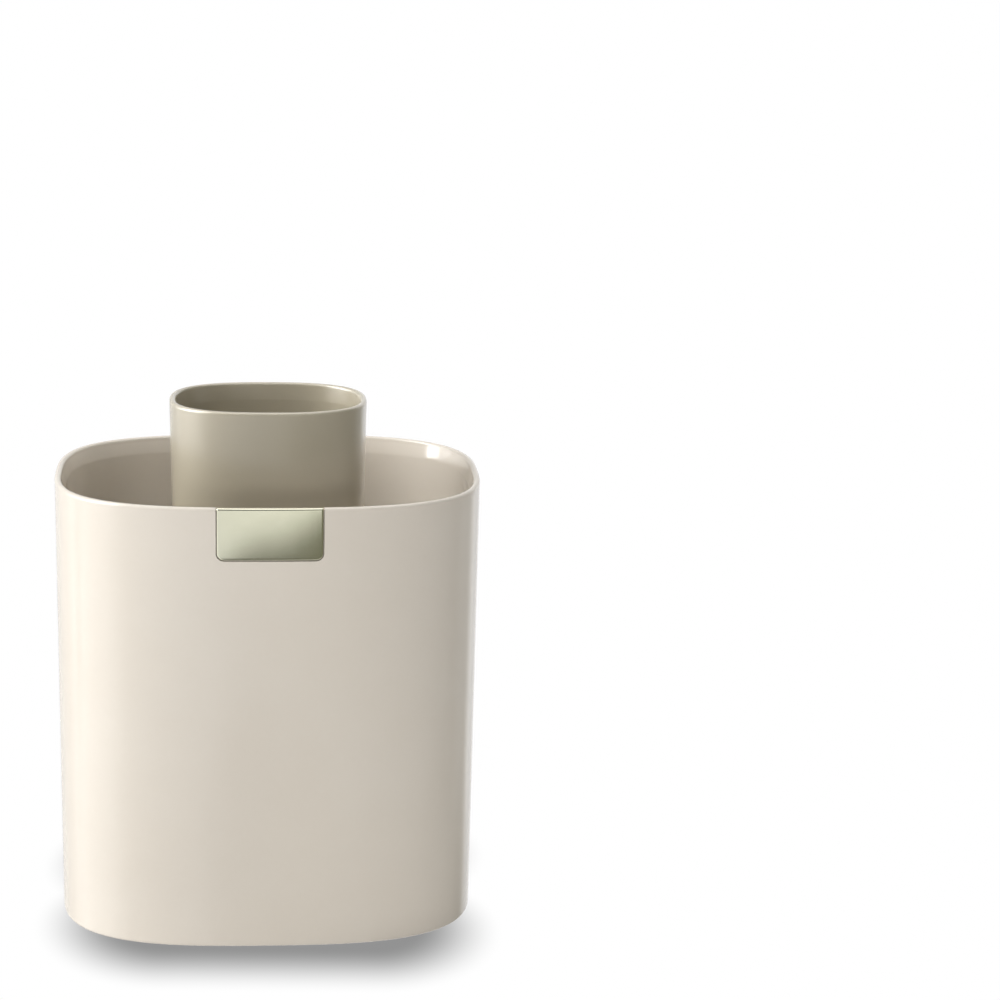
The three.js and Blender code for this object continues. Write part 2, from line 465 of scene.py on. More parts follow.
def between(first: Station, last: Station, spacing: float, span: float) -> list[Station]:
    """Rows between two others, leaving both out. A long step gets one close to each end, so it shades flat.

    Args:
        first: The row before.
        last: The row after.
        spacing: The largest step.
        span: The distance from first to last.

    Returns:
        The rows in between.
    """
    count = max(1, math.ceil(span / spacing))
    shares = [step / count for step in range(1, count)]
    if span > LONG_STEP:
        shares = [SUPPORT / span, *shares, 1 - SUPPORT / span]
    pairs = list(zip(astuple(first), astuple(last)))
    return [Station(*(before + (after - before) * share for before, after in pairs)) for share in shares]


def fill_rows(rows: list[Station], spacing: float, half_width: float) -> list[Station]:
    """Adds rows so that no step of a profile is longer than a spacing.

    Args:
        rows: The profile's corners and arcs.
        spacing: The largest step.
        half_width: Distance that a reach of 1 stands for. The core plan lies about half of it further in.

    Returns:
        The profile with its added rows.
    """
    filled = [rows[0]]
    for row in rows[1:]:
        before = filled[-1]
        flat = abs(row.inset - before.inset) + abs(row.reach - before.reach) * half_width
        flat += abs(row.core - before.core) * half_width / 2
        span = math.hypot(flat, row.height - before.height)
        filled += [*between(before, row, spacing, span), row]
    return filled


def ceiling_rows(ceiling: float, fillet: float, side: float) -> list[Station]:
    """Rows of a hollow's ceiling, from the gate mark sunk in its middle to the end of its rounded corner.

    Args:
        ceiling: The ceiling's height.
        fillet: The corner's radius.
        side: Inset of the hollow's side where the corner ends.

    Returns:
        The rows from the middle outwards.
    """
    return [
        Station(0.0, ceiling + GATE_DEPTH, reach=0.0),
        Station(0.0, ceiling + GATE_DEPTH, reach=GATE_RADIUS_SHARE * GATE_FLAT_SHARE),
        Station(0.0, ceiling, reach=GATE_RADIUS_SHARE),
        *reversed(arc(side + fillet, ceiling - fillet, fillet, 0, 90, CEILING_STEPS)),
    ]


def link_mesh(name: str, mesh: bpy.types.Mesh) -> bpy.types.Object:
    """Puts a mesh into the scene as an object at the origin.

    Args:
        name: The object's name.
        mesh: The mesh.

    Returns:
        The object.
    """
    piece = bpy.data.objects.new(name, mesh)
    bpy.context.scene.collection.objects.link(piece)
    return piece


def skin(name: str, loops: list[list[Point]]) -> bpy.types.Object:
    """Joins closed loops of points, one after another, into a closed shape.

    Args:
        name: The object's name.
        loops: The loops, with as many points each. A first or last one may be a single point instead, which a
            fan of triangles joins. One flat face closes any other end.

    Returns:
        The shape, with its faces outwards.
    """
    mesh = bmesh.new()
    count = max(len(loop) for loop in loops)
    rings = []
    for loop in loops:
        ring = [mesh.verts.new(point) for point in loop]
        rings.append((ring * count)[:count])
    for left, right in zip(rings, rings[1:]):
        for index in range(count):
            after = (index + 1) % count
            corners = (left[index], right[index], right[after], left[after])
            mesh.faces.new(tuple(dict.fromkeys(corners)))
    for end in (rings[0][::-1], rings[-1]):
        if len(set(end)) > 1:
            mesh.faces.new(end)
    bmesh.ops.recalc_face_normals(mesh, faces=mesh.faces)
    data = bpy.data.meshes.new(name)
    mesh.to_mesh(data)
    mesh.free()
    return link_mesh(name, data)


def strip_object(name: str, rows: list[Station], sides: int) -> bpy.types.Object:
    """Builds the flat strip that is wrapped round a plan: x is the angle, y the inset and z the height.

    Args:
        name: The object's name.
        rows: The profile.
        sides: Number of columns round the plan.

    Returns:
        The strip, with the rows' core and reach as attributes.
    """
    columns = sides + 1
    angles = [2 * math.pi * column / sides for column in range(columns)]
    points = [(angle, row.inset, row.height) for row in rows for angle in angles]
    faces = []
    for row in range(len(rows) - 1):
        for column in range(sides):
            corner = row * columns + column
            faces.append((corner, corner + 1, corner + columns + 1, corner + columns))
    mesh = bpy.data.meshes.new(name)
    mesh.from_pydata(points, [], faces)
    for attribute in ("core", "reach"):
        data = mesh.attributes.new(attribute, "FLOAT", "POINT").data
        data.foreach_set("value", [getattr(row, attribute) for row in rows for _ in range(columns)])
    return link_mesh(name, mesh)


def replace_by_result(piece: bpy.types.Object) -> None:
    """Turns an object's modifiers into plain mesh.

    Args:
        piece: The object, whose modifiers are removed.
    """
    depsgraph = bpy.context.evaluated_depsgraph_get()
    finished = bpy.data.meshes.new_from_object(piece.evaluated_get(depsgraph), depsgraph=depsgraph)
    piece.modifiers.clear()
    old = piece.data
    piece.data = finished
    finished.name = piece.name
    bpy.data.meshes.remove(old)


class ShapeTree:
    """A geometry tree with named inputs, which ends in Realize Instances and Set Material."""

    def __init__(self, name: str, lengths: list[str], material: bpy.types.Material) -> None:
        """Makes the tree's interface.

        Args:
            name: The tree's name.
            lengths: Names of its number inputs.
            material: What Set Material gives the result.
        """
        self.tree = bpy.data.node_groups.new(name, "GeometryNodeTree")
        self.graph = Graph(self.tree)
        self.material = material
        self.tree.interface.new_socket("Geometry", in_out="INPUT", socket_type=Socket.SHAPE.value)
        self.tree.interface.new_socket("Geometry", in_out="OUTPUT", socket_type=Socket.SHAPE.value)
        for length in lengths:
            self.tree.interface.new_socket(length, in_out="INPUT", socket_type=Socket.LENGTH.value)
        self.inlet = self.graph.node("NodeGroupInput")

    def read(self, name: str) -> Value:
        """One of the tree's named inputs."""
        return Value(self.graph, self.inlet.outputs[name])

    def close(self, shape: Value) -> None:
        """Ends the tree.

        Args:
            shape: The finished geometry.
        """
        real = self.graph.value("GeometryNodeRealizeInstances", {}, {"Geometry": shape})
        inputs = {"Geometry": real, "Material": self.material}
        dressed = self.graph.value("GeometryNodeSetMaterial", {}, inputs)
        self.graph.node("NodeGroupOutput", {}, {"Geometry": dressed})

    def apply(self, piece: bpy.types.Object, lengths: dict[str, float]) -> None:
        """Runs the tree on an object, which keeps the result as its mesh.

        Args:
            piece: The object.
            lengths: Values of the named inputs.
        """
        modifier = piece.modifiers.new(self.tree.name, "NODES")
        modifier.node_group = self.tree
        for item in self.tree.interface.items_tree:
            if item.in_out == "INPUT" and item.name in lengths:
                modifier[item.identifier] = lengths[item.name]
        replace_by_result(piece)


class OvalTree(ShapeTree):
    """A tree that places points on a superellipse plan and along its normal."""

    OUTER = ("Outer Half Width", "Outer Half Depth", "Outer Power")
    CORE = ("Core Half Width", "Core Half Depth", "Core Power")

    def slope(self, share: Value, half: Value, power: Value) -> Value:
        """One component of the outline's normal, before it is made a unit long."""
        return share ** (power - 1.0) / half

    def place(self, x: Value, y: Value, inset: Value, plan: tuple[Value, ...]) -> tuple[Value, Value]:
        """Moves a point of the outline inwards along its normal.

        Args:
            x: The point's x.
            y: The point's y.
            inset: How far to move it.
            plan: Half width, half depth and power.

        Returns:
            The new x and y.
        """
        half_width, half_depth, power = plan
        slope_x = self.slope(abs(x) / half_width, half_width, power) * x.math("SIGN")
        slope_y = self.slope(abs(y) / half_depth, half_depth, power) * y.math("SIGN")
        length = (slope_x * slope_x + slope_y * slope_y).math("SQRT")
        return x - inset * slope_x / length, y - inset * slope_y / length

    def attribute(self, name: str) -> Value:
        """A number stored on the points."""
        return self.graph.value("GeometryNodeInputNamedAttribute", {"data_type": "FLOAT"}, {"Name": name})

    def position(self) -> tuple[Value, ...]:
        """The three coordinates of the points as they come in."""
        return self.graph.split(self.graph.value("GeometryNodeInputPosition"))

    def move(self, x: Value, y: Value, z: Value) -> Value:
        """The incoming geometry, with its points at new coordinates."""
        inputs = {"Geometry": self.read("Geometry"), "Position": self.graph.join(x, y, z)}
        return self.graph.value("GeometryNodeSetPosition", {}, inputs)


class WrapTree(OvalTree):
    """Wraps a flat strip round the outer plan, the core plan or a blend of both, and closes it."""

    def __init__(self, material: bpy.types.Material) -> None:
        """Builds the tree.

        Args:
            material: The shell's material.
        """
        super().__init__("wrap_round_plan", [*self.OUTER, *self.CORE, "Merge Distance"], material)
        angle, inset, height = self.position()
        share = self.attribute("core")
        plan = tuple(
            self.read(outer) + (self.read(core) - self.read(outer)) * share
            for outer, core in zip(self.OUTER, self.CORE)
        )
        half_width, half_depth, power = plan
        cosine = angle.math("COSINE")
        sine = angle.math("SINE")
        spread = (abs(cosine) / half_width) ** power + (abs(sine) / half_depth) ** power
        radius = spread ** (-1.0 / power)
        x, y = self.place(radius * cosine, radius * sine, inset, plan)
        reach = self.attribute("reach")
        wrapped = self.move(x * reach, y * reach, height)
        inputs = {"Geometry": wrapped, "Distance": self.read("Merge Distance")}
        self.close(self.graph.value("GeometryNodeMergeByDistance", {}, inputs))

    def wrap(self, strip: bpy.types.Object, outer: Oval, core: Oval) -> None:
        """Wraps a strip round an outer plan and a core plan."""
        merge = {"Merge Distance": MERGE_DISTANCE}
        self.apply(strip, outer.inputs(self.OUTER) | core.inputs(self.CORE) | merge)


class FrontTree(OvalTree):
    """Lays a flat block on the front wall: y of the block is its depth behind the wall's face."""

    def __init__(self, material: bpy.types.Material) -> None:
        """Builds the tree.

        Args:
            material: The piece's material.
        """
        super().__init__("lay_on_front", [*self.OUTER, "Lip Height", "Draft Slope"], material)
        across, depth, height = self.position()
        plan = tuple(self.read(name) for name in self.OUTER)
        half_width, half_depth, power = plan
        rest = 1.0 - (abs(across) / half_width) ** power
        front = rest ** (1.0 / power) * half_depth * -1.0
        draft = (self.read("Lip Height") - height).math("MAXIMUM", 0.0) * self.read("Draft Slope")
        x, y = self.place(across, front, depth + draft, plan)
        self.close(self.move(x, y, height))

    def lay(self, block: bpy.types.Object, oval: Oval) -> None:
        """Bends a flat block onto the front of a pot with a given plan."""
        wall = {"Lip Height": oval.lip_height, "Draft Slope": math.tan(oval.draft)}
        self.apply(block, oval.inputs(self.OUTER) | wall)


class CornerTree(ShapeTree):
    """Puts a copy of one shape at the four corners of a rectangle."""

    def __init__(self, material: bpy.types.Material) -> None:
        """Builds the tree.

        Args:
            material: The copies' material.
        """
        super().__init__("at_four_corners", ["Spread X", "Spread Y"], material)
        grid = {"Size X": self.read("Spread X"), "Size Y": self.read("Spread Y")}
        grid |= {"Vertices X": 2, "Vertices Y": 2}
        corners = self.graph.value("GeometryNodeMeshGrid", {}, grid, "Mesh")
        copied = {"Points": corners, "Instance": self.read("Geometry")}
        self.close(self.graph.value("GeometryNodeInstanceOnPoints", {}, copied))


def smooth(piece: bpy.types.Object, sharp_degrees: float) -> None:
    """Shades a piece smooth, apart from edges sharper than an angle."""
    piece.data.shade_smooth()
    piece.data.set_sharp_from_angle(angle=math.radians(sharp_degrees))


def cut(piece: bpy.types.Object, cutters: list[bpy.types.Object]) -> None:
    """Cuts shapes out of a piece and deletes them.

    Args:
        piece: The piece.
        cutters: Closed shapes that don't touch one another.
    """
    for cutter in cutters:
        modifier = piece.modifiers.new("cut", "BOOLEAN")
        modifier.operation = "DIFFERENCE"
        modifier.solver = "EXACT"
        modifier.object = cutter
    replace_by_result(piece)
    for cutter in cutters:
        bpy.data.objects.remove(cutter)


def finish_piece(piece: bpy.types.Object, body: Body, slot: str, *nodes: str) -> None:
    """Lets a piece ride on a body in place of CAD nodes, and reports it.

    Args:
        piece: The finished piece.
        body: What it rides on.
        slot: Not used.
        nodes: The CAD nodes that it stands for.
    """
    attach(piece, body.value)
    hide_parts(*nodes)
    LOG.info("%s: %d faces on %s", piece.name, len(piece.data.polygons), body.value)


@dataclass
class InnerPot:
    """The lift-out pot: skirt, wall, round lip and raised floor."""

    wall: float = 2.2 * MM
    lip_radius: float = 0.9 * MM
    lip_steps: int = 14
    flare_height: float = 4 * MM
    floor_height: float = 23.7 * MM
    floor_thickness: float = 2.4 * MM
    floor_dish: float = 0.4 * MM
    floor_fillet: float = 3 * MM
    floor_steps: int = 8
    mouth_radius: float = 0.5 * MM
    mouth_steps: int = 5
    ceiling_fillet: float = 1 * MM
    skirt_wall: float = 1.9 * MM
    skirt_draft: float = math.radians(1)
    power: float = 2.54
    draft: float = math.radians(1.15)
    sides: int = 192
    spacing: float = 4 * MM
    sharp_degrees: float = 35.0
    oval: Oval = field(init=False)
    mouth: float = field(init=False)

    def __post_init__(self) -> None:
        """Takes the overall size from the frame."""
        low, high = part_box("inner_pot")
        self.mouth = low.z
        self.oval = Oval(high.x, high.y, self.power, self.draft, high.z - self.lip_radius)

    def skirt_inset(self, height: float) -> float:
        """Inset of the skirt's inside at a height."""
        taper = (height - self.mouth) * math.tan(self.skirt_draft)
        return self.oval.inset(self.mouth) + self.skirt_wall + taper

    def skirt_rows(self) -> list[Station]:
        """Makes the skirt's profile.

        Returns:
            Rows from the middle of the hollow's ceiling to the outside of the mouth.
        """
        ceiling = self.floor_height - self.floor_thickness
        return [
            *ceiling_rows(ceiling, self.ceiling_fillet, self.skirt_inset(ceiling - self.ceiling_fillet)),
            Station(self.skirt_inset(self.mouth), self.mouth),
            *self.oval.edge_rows(self.mouth, self.mouth_radius, self.mouth_steps),
        ]

    def wall_rows(self) -> list[Station]:
        """Makes the profile above the skirt.

        Returns:
            Rows over the lip, down the inside and across the floor to its middle.
        """
        foot = self.oval.lip_height - self.flare_height
        return [
            *self.oval.lip_rows(self.lip_radius, self.lip_steps),
            Station(self.oval.inset(foot) + self.wall, foot),
            *self.oval.floor_rows(self.floor_height, self.wall, self.floor_fillet, self.floor_steps),
            Station(0.0, self.floor_height - self.floor_dish, reach=0.0),
        ]

    def build(self, material: bpy.types.Material) -> None:
        """Makes the pot.

        Args:
            material: Its finish.
        """
        rows = fill_rows([*self.skirt_rows(), *self.wall_rows()], self.spacing, self.oval.half_width)
        piece = strip_object("inner_pot_shell", rows, self.sides)
        WrapTree(material).wrap(piece, self.oval, self.oval)
        smooth(piece, self.sharp_degrees)
        finish_piece(piece, Body.INNER, "inner_shell", "inner_pot")


@dataclass(frozen=True)
class Rib:
    """A line that runs across the folded plate.

    Attributes:
        depth: How far behind the plate's front it lies.
        height: Its height.
        follow: How far it follows the lower edge up at the corners, 0 to 1.
        turn: On a face that shows, the way inwards: 0 is back, a quarter turn is down.
    """

    depth: float
    height: float
    follow: float = 0.0
    turn: float | None = None


@dataclass
class FoldedPlate:
    """The bare metal plate folded over the front rim, and the pocket that it lies in."""

    thickness: float = 0.6 * MM
    fold: float = 1.15 * MM
    fold_radius: float = 0.5 * MM
    corner_radius: float = 2.0 * MM
    corner_steps: int = 10
    edge_radius: float = 0.35 * MM
    edge_steps: int = 8
    crown: float = 0.06 * MM
    seam: float = 0.25 * MM
    pad_gap: float = 0.12 * MM
    pad_thickness: float = 0.25 * MM
    overrun: float = 3 * MM
    column_spacing: float = 0.9 * MM
    row_spacing: float = 1.2 * MM
    row_growth: float = 1.25
    sharp_degrees: float = 40.0
    width: float = field(init=False)
    bottom: float = field(init=False)
    top: float = field(init=False)

    def __post_init__(self) -> None:
        """Takes the overall size from the frame."""
        low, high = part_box("badge_plate")
        self.width = high.x - low.x
        self.bottom = low.z
        self.top = high.z

    def columns(self, margin: float) -> list[tuple[float, float]]:
        """Places across the plate, with how far each rounded lower corner lifts its lower edge.

        Args:
            margin: How far the outline lies outside the plate's.

        Returns:
            Pairs of x and lift, from left to right.
        """
        radius = self.corner_radius + margin
        width = self.width + 2 * margin
        start = -width / 2
        left = []
        for turn in quarter(self.corner_steps):
            left.append((start + radius * (1 - math.cos(turn)), radius * (1 - math.sin(turn))))
        flat = width - 2 * radius
        count = math.ceil(flat / self.column_spacing)
        middle = [(start + radius + flat * step / count, 0.0) for step in range(1, count)]
        return [*left, *middle, *((-x, lift) for x, lift in reversed(left))]

    def place(self, x: float, lift: float, rib: Rib) -> Point:
        """Where a rib meets a column, sunk as far as the rounding of the plate's edge asks.

        Args:
            x: The column's place.
            lift: How far the lower edge is raised there.
            rib: The rib.

        Returns:
            The point, still flat.
        """
        height = rib.height + lift * rib.follow
        if rib.turn is None:
            return x, rib.depth, height
        across = abs(x) - (self.width / 2 - self.corner_radius)
        below = self.bottom + self.corner_radius - height
        near = math.hypot(across, below) if min(across, below) > 0 else max(across, below)
        share = min(max(1 - (self.corner_radius - near) / self.edge_radius, 0.0), 1.0)
        sunk = self.edge_radius * (1 - math.sqrt(1 - share ** 2))
        return x, rib.depth + sunk * math.cos(rib.turn), height - sunk * math.sin(rib.turn)

    def block(self, name: str, margin: float, section: list[Rib]) -> bpy.types.Object:
        """Builds a closed flat block from a section's ribs, wider than the plate by a margin on each side."""
        columns = self.columns(margin)
        return skin(name, [[self.place(x, lift, rib) for rib in section] for x, lift in columns])

    def pocket(self, oval: Oval, material: bpy.types.Material) -> bpy.types.Object:
        """The shape that the plate and its pad take out of the pot.

        Args:
            oval: The outer pot's plan.
            material: The pot's material, which the cut faces keep.

        Returns:
            A closed cutter.
        """
        back = self.thickness + 2 * self.pad_gap + self.pad_thickness
        seat = self.top - self.thickness - self.pad_gap
        low = self.bottom - self.seam
        high = self.top + self.overrun
        section = [
            Rib(-self.overrun, low, follow=1.0),
            Rib(back, low, follow=1.0),
            Rib(back, seat),
            Rib(self.fold + self.seam, seat),
            Rib(self.fold + self.seam, high),
            Rib(-self.overrun, high),
        ]
        piece = self.block("plate_pocket", self.seam, section)
        FrontTree(material).lay(piece, oval)
        return piece

    def front_ribs(self, tall: float) -> list[Rib]:
        """Ribs up the front, close together where the lower edge is rounded.

        Args:
            tall: Height of the front below the fold.

        Returns:
            The ribs, from the lower edge up.
        """
        heights = [self.edge_radius * (1 - math.cos(turn)) for turn in quarter(self.edge_steps)]
        gap = self.edge_radius
        while heights[-1] + gap < tall:
            heights.append(heights[-1] + gap)
            gap = min(gap * self.row_growth, self.row_spacing)
        ribs = []
        for height in heights:
            share = height / tall
            bulge = self.crown * (2 * share - 1) ** 2
            ribs.append(Rib(bulge, self.bottom + height, follow=1 - share, turn=0.0))
        return ribs

    def fold_ribs(self, crest: float) -> list[Rib]:
        """Ribs round the fold and over the rear edge.

        Args:
            crest: Height where the fold begins.

        Returns:
            The ribs, from front to back.
        """
        ribs = []
        for turn in quarter(self.edge_steps):
            depth = self.crown + self.fold_radius * (1 - math.cos(turn))
            ribs.append(Rib(depth, crest + self.fold_radius * math.sin(turn), turn=turn))
        for turn in quarter(self.edge_steps):
            depth = self.fold - self.edge_radius * (1 - math.sin(turn))
            ribs.append(Rib(depth, self.top - self.edge_radius * (1 - math.cos(turn)), turn=math.pi / 2))
        return ribs

    def build(self, oval: Oval, material: bpy.types.Material) -> None:
        """Makes the plate.

        Args:
            oval: The outer pot's plan.
            material: The plate's finish.
        """
        crest = self.top - self.fold_radius
        section = [
            Rib(self.thickness, self.bottom, follow=1.0),
            Rib(self.thickness, self.top - self.thickness),
            Rib(self.fold, self.top - self.thickness),
            *reversed([*self.front_ribs(crest - self.bottom), *self.fold_ribs(crest)]),
        ]
        piece = self.block("badge_plate_bare", 0.0, section)
        FrontTree(material).lay(piece, oval)
        smooth(piece, self.sharp_degrees)
        flatten = piece.modifiers.new("flat_faces", "WEIGHTED_NORMAL")
        flatten.keep_sharp = True
        replace_by_result(piece)
        finish_piece(piece, Body.OUTER, "plate_metal", "badge_plate")


@dataclass
class BaseFeet:
    """The four soft feet and their sockets."""

    edge_radius: float = 0.3 * MM
    edge_steps: int = 4
    groove_shares: tuple[float, ...] = (0.62, 0.66, 0.72, 0.76)
    groove_depth: float = 0.12 * MM
    socket_gap: float = 0.2 * MM
    seat_gap: float = 0.3 * MM
    overrun: float = 2 * MM
    sides: int = 64
    sharp_degrees: float = 40.0
    radius: float = field(init=False)
    thickness: float = field(init=False)
    spread_x: float = field(init=False)
    spread_y: float = field(init=False)

    def __post_init__(self) -> None:
        """Takes size and places from the frame."""
        low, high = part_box("foot_back_right")
        self.radius = (high.x - low.x) / 2
        self.thickness = high.z - low.z
        self.spread_x = high.x + low.x
        self.spread_y = high.y + low.y

    def copies(self, name: str, profile: list[tuple[float, float]],
               material: bpy.types.Material) -> bpy.types.Object:
        """Spins a profile round the Z axis and puts a copy of the shape at each foot's place.

        Args:
            name: The object's name.
            profile: Points of radius and height, from the axis round to the axis.
            material: The copies' material.

        Returns:
            One object with all four closed copies.
        """
        turns = [2 * math.pi * side / self.sides for side in range(self.sides)]
        loops = []
        for radius, height in profile:
            around = turns if radius else [0.0]
            loops.append([(radius * math.cos(turn), radius * math.sin(turn), height) for turn in around])
        piece = skin(name, loops)
        CornerTree(material).apply(piece, {"Spread X": self.spread_x, "Spread Y": self.spread_y})
        return piece

    def sockets(self, base: float, material: bpy.types.Material) -> bpy.types.Object:
        """The round pockets that the feet are pressed into.

        Args:
            base: Height of the pot's underside.
            material: The pot's material, which the cut faces keep.

        Returns:
            A closed cutter for each foot, in one object.
        """
        radius = self.radius + self.socket_gap
        low = base - self.overrun
        high = self.thickness + self.seat_gap
        return self.copies("foot_sockets", [(0.0, low), (radius, low), (radius, high), (0.0, high)], material)

    def build(self, material: bpy.types.Material) -> None:
        """Makes the feet.

        Args:
            material: Their finish.
        """
        eased = self.radius - self.edge_radius
        depths = (0.0, self.groove_depth, self.groove_depth, 0.0)
        profile = [(0.0, 0.0), *((eased * share, depth) for share, depth in zip(self.groove_shares, depths))]
        for turn in quarter(self.edge_steps):
            out = eased + self.edge_radius * math.sin(turn)
            profile.append((out, self.edge_radius * (1 - math.cos(turn))))
        profile += [(self.radius, self.thickness), (0.0, self.thickness)]
        piece = self.copies("base_feet", profile, material)
        smooth(piece, self.sharp_degrees)
        nodes = [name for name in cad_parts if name.startswith("foot_")]
        finish_piece(piece, Body.OUTER, "foot_rubber", *sorted(nodes))


@dataclass
class OuterPot:
    """The outer pot: cored base, wall, round lip with its inner flare, floor and boss."""

    wall: float = 2.8 * MM
    lip_radius: float = 0.95 * MM
    lip_steps: int = 16
    flare_height: float = 3.75 * MM
    flare_hollow: float = 0.3
    flare_blend: float = 0.2 * MM
    flare_steps: int = 8
    floor_thickness: float = 3.2 * MM
    floor_fillet: float = 4 * MM
    floor_steps: int = 10
    base_radius: float = 0.8 * MM
    base_steps: int = 7
    core_edge_radius: float = 0.4 * MM
    core_edge_steps: int = 4
    boss_height: float = 8 * MM
    boss_wall: float = 2.6 * MM
    boss_top_radius: float = 1 * MM
    boss_top_steps: int = 7
    boss_root: float = 0.3 * MM
    boss_clearance: float = 0.4 * MM
    power: float = 2.96
    draft: float = math.radians(0.48)
    sides: int = 288
    spacing: float = 3.5 * MM
    sharp_degrees: float = 35.0
    oval: Oval = field(init=False)
    base: float = field(init=False)

    def __post_init__(self) -> None:
        """Takes the overall size from the frame."""
        low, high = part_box("outer_pot")
        self.base = low.z
        self.oval = Oval(high.x, high.y, self.power, self.draft, high.z - self.lip_radius)

    def underside_rows(self, inner: InnerPot) -> list[Station]:
        """Makes the profile of the underside.

        Args:
            inner: The inner pot, whose skirt the boss follows.

        Returns:
            Rows from the middle of the core under the boss to the outside of the base.
        """
        ceiling = self.base + self.floor_thickness + self.boss_height - self.boss_wall
        fillet = self.boss_top_radius
        step = self.boss_clearance + self.boss_wall
        ease = self.core_edge_radius
        mouth = inner.skirt_inset(self.base) + step - ease
        return [
            *on_core(ceiling_rows(ceiling, fillet, inner.skirt_inset(ceiling - fillet) + step)),
            *on_core(arc(mouth, self.base + ease, ease, 180, 270, self.core_edge_steps)),
            *self.oval.edge_rows(self.base, self.base_radius, self.base_steps),
        ]

    def wall_rows(self) -> list[Station]:
        """Makes the profile of the lip and the inside.

        Returns:
            Rows over the lip, down the flare and the inside wall, and round the floor's fillet.
        """
        lip = self.oval.lip_height
        foot = lip - self.flare_height
        floor = self.base + self.floor_thickness
        run = self.oval.inset(foot) + self.wall - 2 * self.lip_radius
        flare = []
        for step in range(1, self.flare_steps + 1):
            share = (1 - self.flare_blend / self.flare_height) * step / self.flare_steps
            inset = 2 * self.lip_radius + run * share * (1 + self.flare_hollow * (1 - share))
            flare.append(Station(inset, lip - self.flare_height * share))
        return [
            *self.oval.lip_rows(self.lip_radius, self.lip_steps),
            *flare,
            Station(self.oval.inset(foot - self.flare_blend) + self.wall, foot - self.flare_blend),
            *self.oval.floor_rows(floor, self.wall, self.floor_fillet, self.floor_steps),
        ]

    def boss_rows(self, inner: InnerPot) -> list[Station]:
        """Makes the profile of the boss.

        Args:
            inner: The inner pot, whose skirt drops over it.

        Returns:
            Rows up the boss and across its top to the middle.
        """
        floor = self.base + self.floor_thickness
        top = floor + self.boss_height
        shoulder = top - self.boss_top_radius
        foot = inner.skirt_inset(floor) + self.boss_clearance
        side = inner.skirt_inset(shoulder) + self.boss_clearance
        return on_core([
            Station(foot - self.boss_root, floor),
            Station(foot, floor + self.boss_root),
            *arc(side + self.boss_top_radius, shoulder, self.boss_top_radius, 0, 90, self.boss_top_steps),
            Station(0.0, top, reach=0.0),
        ])

    def build(self, inner: InnerPot, plate: FoldedPlate, feet: BaseFeet,
              material: bpy.types.Material) -> None:
        """Makes the pot, with the plate's pocket and the feet's sockets cut.

        Args:
            inner: The inner pot, whose skirt drops over the boss.
            plate: The plate, for its pocket.
            feet: The feet, for their sockets.
            material: The pot's finish.
        """
        profile = [*self.underside_rows(inner), *self.wall_rows(), *self.boss_rows(inner)]
        rows = fill_rows(profile, self.spacing, self.oval.half_width)
        piece = strip_object("outer_pot_shell", rows, self.sides)
        WrapTree(material).wrap(piece, self.oval, inner.oval)
        cut(piece, [plate.pocket(self.oval, material), feet.sockets(self.base, material)])
        smooth(piece, self.sharp_degrees)
        finish_piece(piece, Body.OUTER, "pot_shell", "outer_pot")


def heading(azimuth: float, elevation: float) -> Vector:
    """The direction at an azimuth, counted from the front towards the right, and an elevation, in radians."""
    level = math.cos(elevation)
    return Vector((math.sin(azimuth) * level, -math.cos(azimuth) * level, math.sin(elevation)))


@dataclass(frozen=True)
class Softbox:
    """A studio lamp with soft side edges, which points at the pot.

    Azimuth counts from the front towards the right, both angles in degrees. A radiance of 1 is white.
    """

    name: str
    azimuth: float
    elevation: float
    distance: float
    width: float
    height: float
    radiance: float
    soft_share: float = 0.3

    def fade(self, lamp: bpy.types.AreaLight) -> None:
        """Dims the lamp towards its left and right edges.

        Args:
            lamp: The lamp's data.
        """
        lamp.use_nodes = True
        graph = Graph(lamp.node_tree)
        across = graph.split(graph.value("ShaderNodeNewGeometry", output="Parametric"))[0]
        edge = ramp(across.math("MINIMUM", 1.0 - across), 0.0, self.soft_share)
        glow = graph.value("ShaderNodeEmission", {}, {"Strength": edge})
        graph.node("ShaderNodeOutputLight", {}, {"Surface": glow})

    def hang(self, aim: Vector) -> None:
        """Adds the lamp.

        Args:
            aim: The point that it faces.
        """
        outwards = heading(math.radians(self.azimuth), math.radians(self.elevation))
        lamp = bpy.data.lights.new(self.name, "AREA")
        lamp.shape = "RECTANGLE"
        lamp.size = self.width
        lamp.size_y = self.height
        lamp.energy = self.radiance * math.pi * self.width * self.height
        self.fade(lamp)
        holder = bpy.data.objects.new(self.name, lamp)
        holder.location = aim + outwards * self.distance
        holder.rotation_mode = "QUATERNION"
        holder.rotation_quaternion = outwards.to_track_quat("Z", "Y")
        holder.visible_glossy = False
        bpy.context.scene.collection.objects.link(holder)


@dataclass(frozen=True)
class Panel:
    """A soft-edged bright field of the surroundings, which only the gloss shows.

    Angles are in degrees, counted as for a lamp, softness is half the width of a faded edge, and warmth is
    the share of blue that its light lacks.
    """

    left: float
    right: float
    low: float
    high: float
    level: float
    side_softness: float = 6.0
    end_softness: float = 6.0
    warmth: float = 0.0

    def glow(self, azimuth: Value, elevation: Value) -> Value:
        """How bright the surroundings are in a direction because of this field.

        Args:
            azimuth: The direction's azimuth.
            elevation: Its elevation.

        Returns:
            The strength.
        """
        edges = (
            (azimuth, self.left, self.side_softness),
            (azimuth, self.right, -self.side_softness),
            (elevation, self.low, self.end_softness),
            (elevation, self.high, -self.end_softness),
        )
        strength = self.level
        for angle, edge, softness in edges:
            strength = strength * ramp(angle, edge - softness, edge + softness)
        return strength


